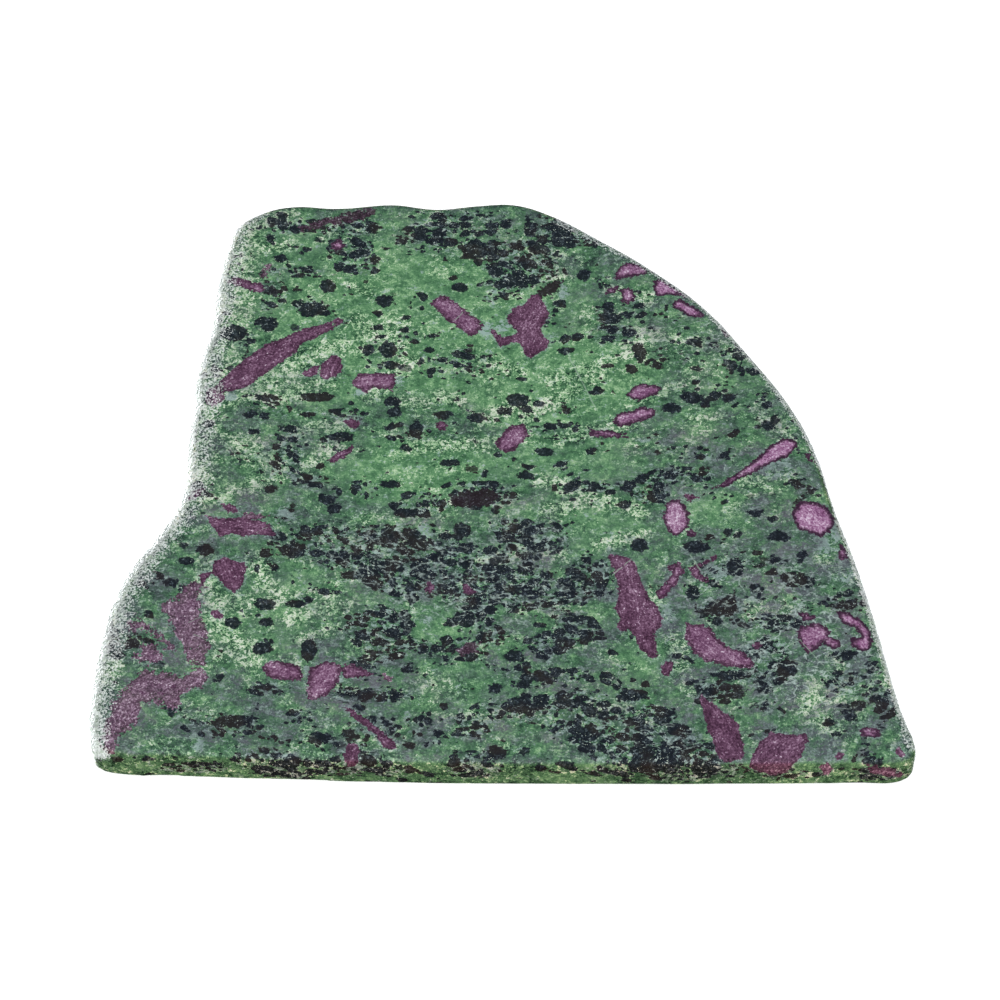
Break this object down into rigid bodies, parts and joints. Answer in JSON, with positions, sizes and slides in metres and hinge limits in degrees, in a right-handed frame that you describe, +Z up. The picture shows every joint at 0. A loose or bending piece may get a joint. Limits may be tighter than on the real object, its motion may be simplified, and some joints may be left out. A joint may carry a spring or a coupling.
{
  "type": "polished slab of ruby in zoisite",
  "caption": "Flat tumbled stone slab with a straight front edge, a curved right side and rounded rims, green with black grains and purple-red ruby crystals. It lies on its underside.",
  "frame": {"origin": "middle of the underside's bounding box, on the surface that the slab lies on", "axes": "+Z up, square to the polished faces; +X to the right along the straight front edge; +Y from the front edge to the wavy back edge"},
  "size_m": [0.1516, 0.1334, 0.008],
  "materials": {
    "ruby_zoisite": "satin tumble polish"
  },
  "bodies": {
    "root": {"zoisite_slab": "ruby_zoisite"}
  },
  "joints": []
}
